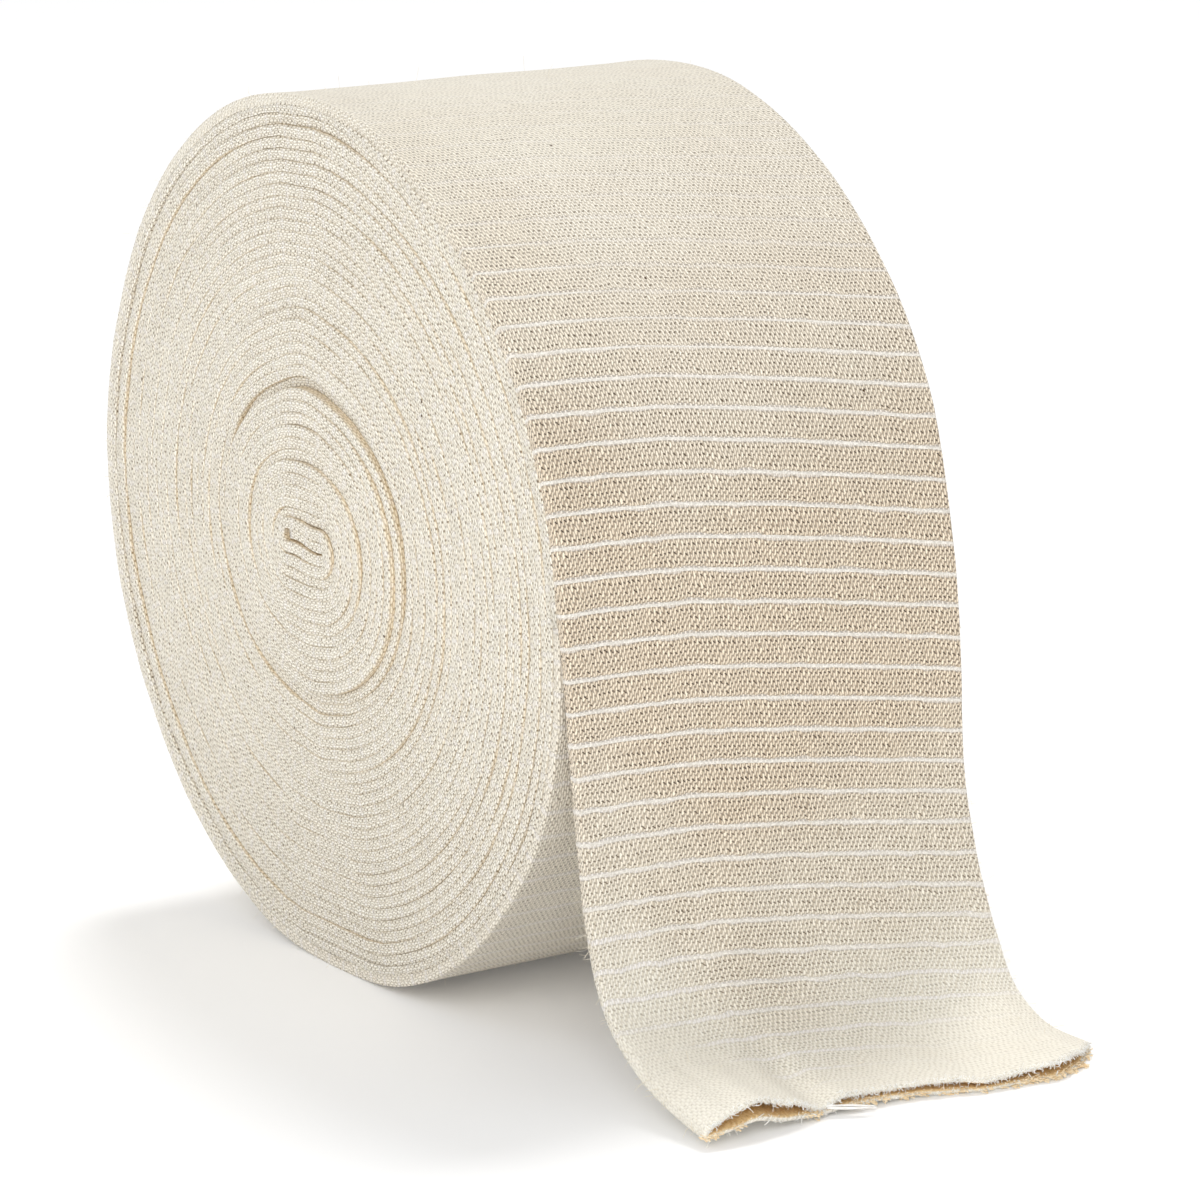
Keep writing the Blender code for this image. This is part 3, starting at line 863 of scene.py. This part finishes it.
def thread_material():
    """The elastic threads' white cover."""
    n = Nodes("elastic_white")
    where = n.tree.nodes.new("ShaderNodeTexCoord").outputs["Object"]
    speck = n.noise(where, 2600.0, 2.0)
    colour = n.mix(n.step(speck, 0.35, 0.7), srgb(210, 204, 194), srgb(240, 235, 226))
    n.bump(speck, 0.6, THREAD_BUMP)
    return n.dress(colour, {"Roughness": 0.7, "Sheen Weight": 0.2})


def fibre_material(name, light, dark):
    """Fibres whose tone drifts between two colours."""
    n = Nodes(name)
    where = n.tree.nodes.new("ShaderNodeTexCoord").outputs["Object"]
    tone = n.noise(where, 900.0, 2.0)
    return n.dress(n.mix(n.step(tone, 0.3, 0.7), dark, light), {"Roughness": 0.8, "Specular IOR Level": 0.2})


def floor_and_light():
    """A plain pale floor, a pale world and soft studio light."""
    mesh = bpy.data.meshes.new("floor")
    r = FLOOR_REACH
    mesh.from_pydata([(-r, -r, 0), (r, -r, 0), (r, r, 0), (-r, r, 0)], [], [(0, 1, 2, 3)])
    floor = bpy.data.objects.new("floor", mesh)
    bpy.context.scene.collection.objects.link(floor)
    n = Nodes("floor_white")
    mesh.materials.append(n.dress((0.96, 0.96, 0.96, 1), {
        "Emission Color": (1, 1, 1, 1), "Emission Strength": 0.05, "Roughness": 0.9, "Specular IOR Level": 0.0}))
    world = bpy.data.worlds.new("studio")
    bpy.context.scene.world = world
    world.use_nodes = True
    background = world.node_tree.nodes["Background"]
    background.inputs["Color"].default_value = (1, 1, 1, 1)
    background.inputs["Strength"].default_value = WORLD_STRENGTH
    for name, kind, place, size, power in LIGHTS:
        data = bpy.data.lights.new(name, kind)
        if kind == "SUN":
            data.angle = size
        else:
            data.size = size
        data.energy = power
        lamp = bpy.data.objects.new(name, data)
        bpy.context.scene.collection.objects.link(lamp)
        lamp.location = place
        lamp.rotation_euler = (Vector(LIT_PLACE) - Vector(place)).to_track_quat("-Z", "Y").to_euler()


def camera():
    """The photograph's viewing angle, and the plain view transform that keeps the white cloth white."""
    data = bpy.data.cameras.new("view")
    data.sensor_width = SENSOR
    data.lens = SENSOR * FOCAL_PIXELS / PHOTO_PIXELS
    data.clip_start = 0.02
    data.clip_end = 30.0
    eye = bpy.data.objects.new("view", data)
    bpy.context.scene.collection.objects.link(eye)
    turn = Matrix((RIGHT, UP, -AHEAD)).transposed()
    eye.matrix_world = Matrix.Translation(EYE) @ turn.to_4x4()
    bpy.context.scene.camera = eye
    bpy.context.scene.view_settings.view_transform = "Standard"


def main():
    roll = wound_roll()
    roll.data.materials.append(knit_material("cotton_roll", PALE, ROLL_BEIGE))
    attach(roll, "root")
    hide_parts("wound_roll")
    cloth, outer, inner, v, s, run = outer_cloth()
    cloth.data.materials.append(knit_material("cotton_tail", PALE, TAIL_BEIGE))
    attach(cloth, "root")
    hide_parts("free_tail")
    threads = elastic_threads(outer, v)
    threads.data.materials.append(thread_material())
    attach(threads, "root")
    fringe, loops, end = cut_edge(outer, inner, run)
    fibres = fuzz(outer, s)
    for piece, material in ((fringe, fibre_material("cut_white", srgb(255, 255, 252), srgb(252, 249, 242))),
                            (loops, fibre_material("loop_tan", srgb(254, 238, 208), srgb(240, 216, 176))),
                            (end, fibre_material("thread_end", srgb(250, 249, 246), srgb(236, 233, 228))),
                            (fibres, fibre_material("fibre_cream", srgb(250, 244, 230), srgb(236, 226, 204)))):
        piece.data.materials.append(material)
        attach(piece, "root")
    floor_and_light()
    camera()


main()
